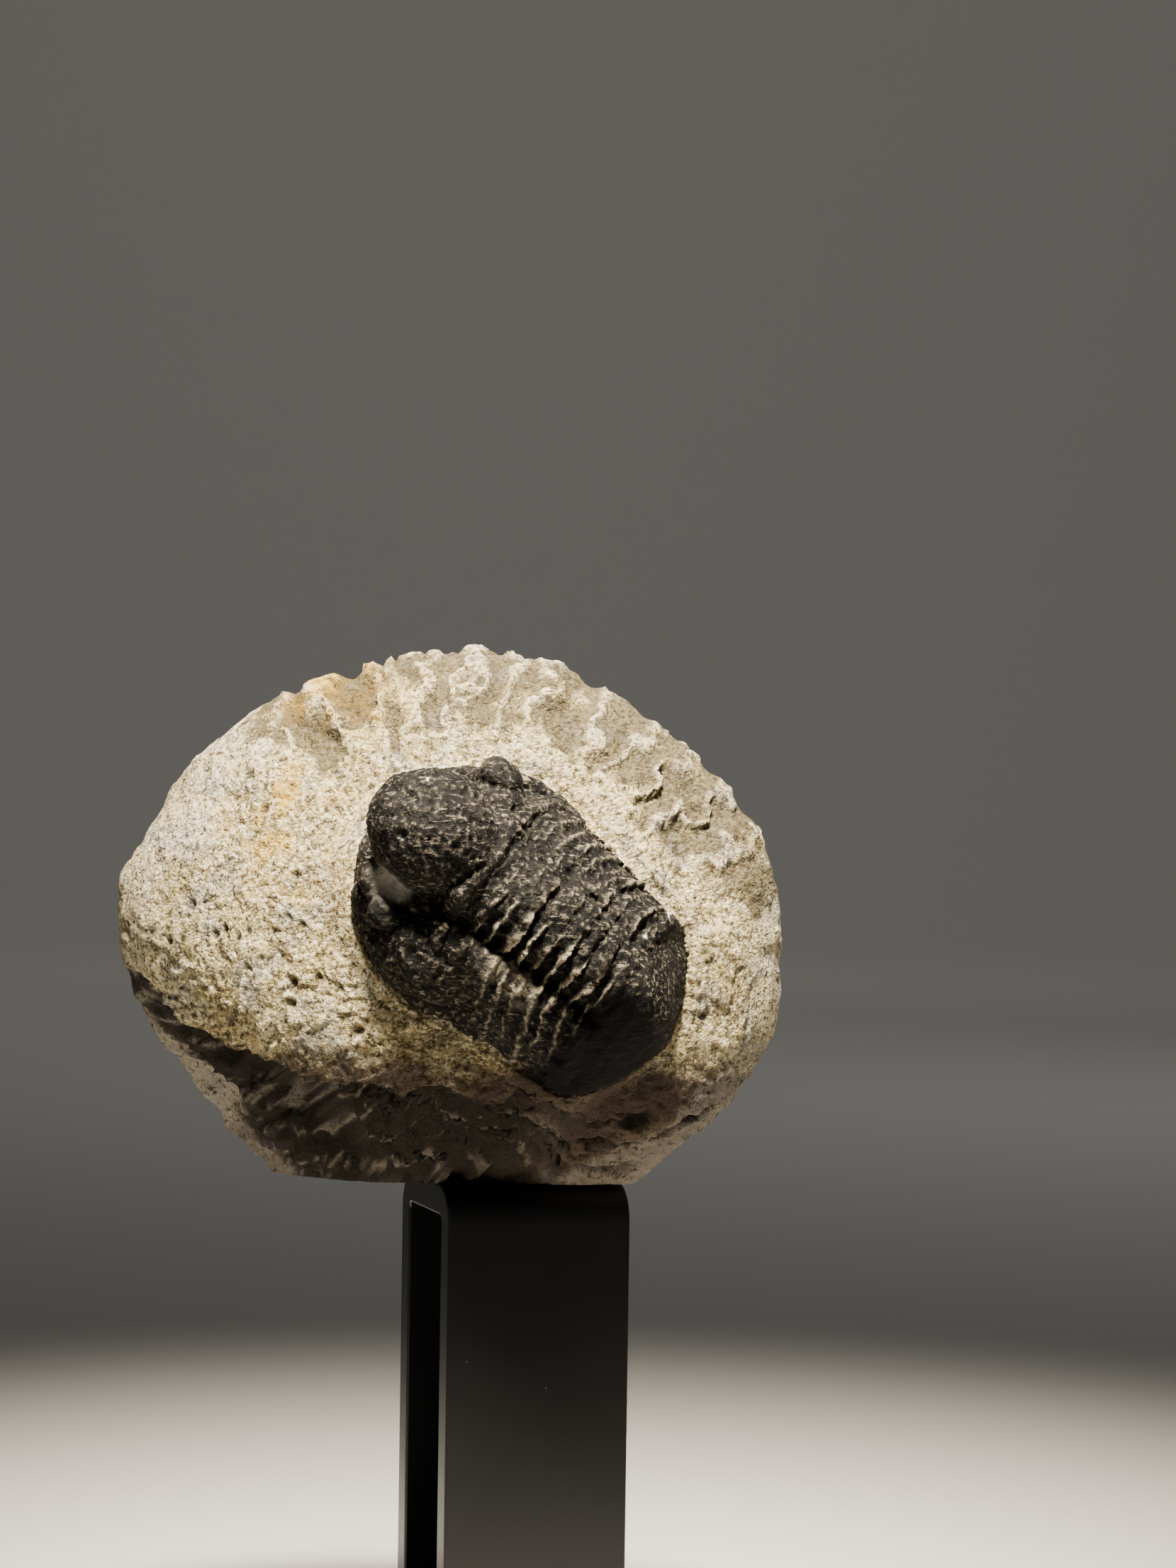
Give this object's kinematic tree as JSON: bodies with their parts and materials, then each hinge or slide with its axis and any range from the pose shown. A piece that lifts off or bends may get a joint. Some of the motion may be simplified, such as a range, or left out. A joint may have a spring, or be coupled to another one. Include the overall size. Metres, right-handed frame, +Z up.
{
  "type": "trilobite fossil",
  "caption": "Dark trilobite in high relief on the domed front of a chipped pale limestone piece, held upright on a black bent-sheet display riser with a plain foot plate.",
  "frame": {"origin": "middle of the foot plate's underside, on the surface that the object stands on", "axes": "+Z up; -Y is the way the riser's front plate faces; the specimen is turned 17 degrees about +Z on the riser"},
  "size_m": [0.0901, 0.0671, 0.1386],
  "materials": {
    "limestone": "rough, chalky",
    "fossil_shell": "matt, finely pitted",
    "black_acrylic": "satin"
  },
  "bodies": {
    "root": {"matrix_stone": "limestone", "trilobite": "fossil_shell", "riser": "black_acrylic", "foot_plate": "black_acrylic"}
  },
  "joints": []
}
